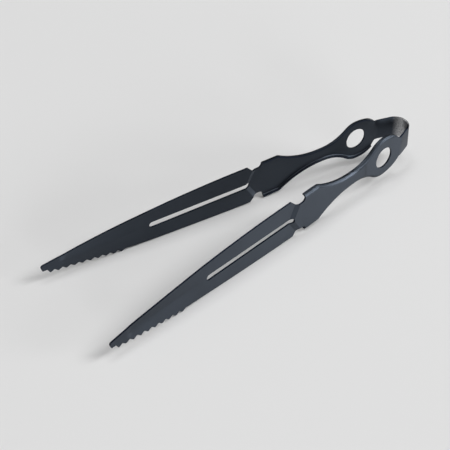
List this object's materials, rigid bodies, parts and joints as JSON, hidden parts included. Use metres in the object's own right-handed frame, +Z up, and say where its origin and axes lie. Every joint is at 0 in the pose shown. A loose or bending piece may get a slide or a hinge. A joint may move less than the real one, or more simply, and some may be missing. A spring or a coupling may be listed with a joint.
{
  "type": "kitchen tongs",
  "caption": "Sprung kitchen tongs folded from one steel strip: round bow, flanged handles with hanging holes, slotted blades with toothed lower edges.",
  "frame": {"origin": "middle of the bounding box, on the ground plane the tongs lie on", "axes": "+X from the spring bow to the tips, +Y across to the left arm, +Z up from the ground"},
  "size_m": [0.291, 0.0872, 0.0385],
  "materials": {
    "dark_steel": "satin blue-black coating"
  },
  "bodies": {
    "bow": {"spring_bow": "dark_steel"},
    "left_arm": {"left_handle": "dark_steel", "left_blade": "dark_steel"},
    "right_arm": {"right_handle": "dark_steel", "right_blade": "dark_steel"}
  },
  "joints": [
    {"name": "left_flex", "type": "hinge", "parent": "bow", "child": "left_arm", "pos_m": [-0.14223, 0.00516, 0.02356], "axis": [-0.0558, 0, -0.9984], "range_deg": [0, 8.2], "stiffness_Nm_per_rad": 2.5, "deforming": ["spring_bow"]},
    {"name": "right_flex", "type": "hinge", "parent": "bow", "child": "right_arm", "pos_m": [-0.14223, -0.00516, 0.02356], "axis": [0.0558, 0, 0.9984], "range_deg": [0, 8.2], "stiffness_Nm_per_rad": 2.5, "deforming": ["spring_bow"]}
  ],
  "couplings": [
    {"joint": "right_flex", "follows": "left_flex", "ratio": 1}
  ]
}
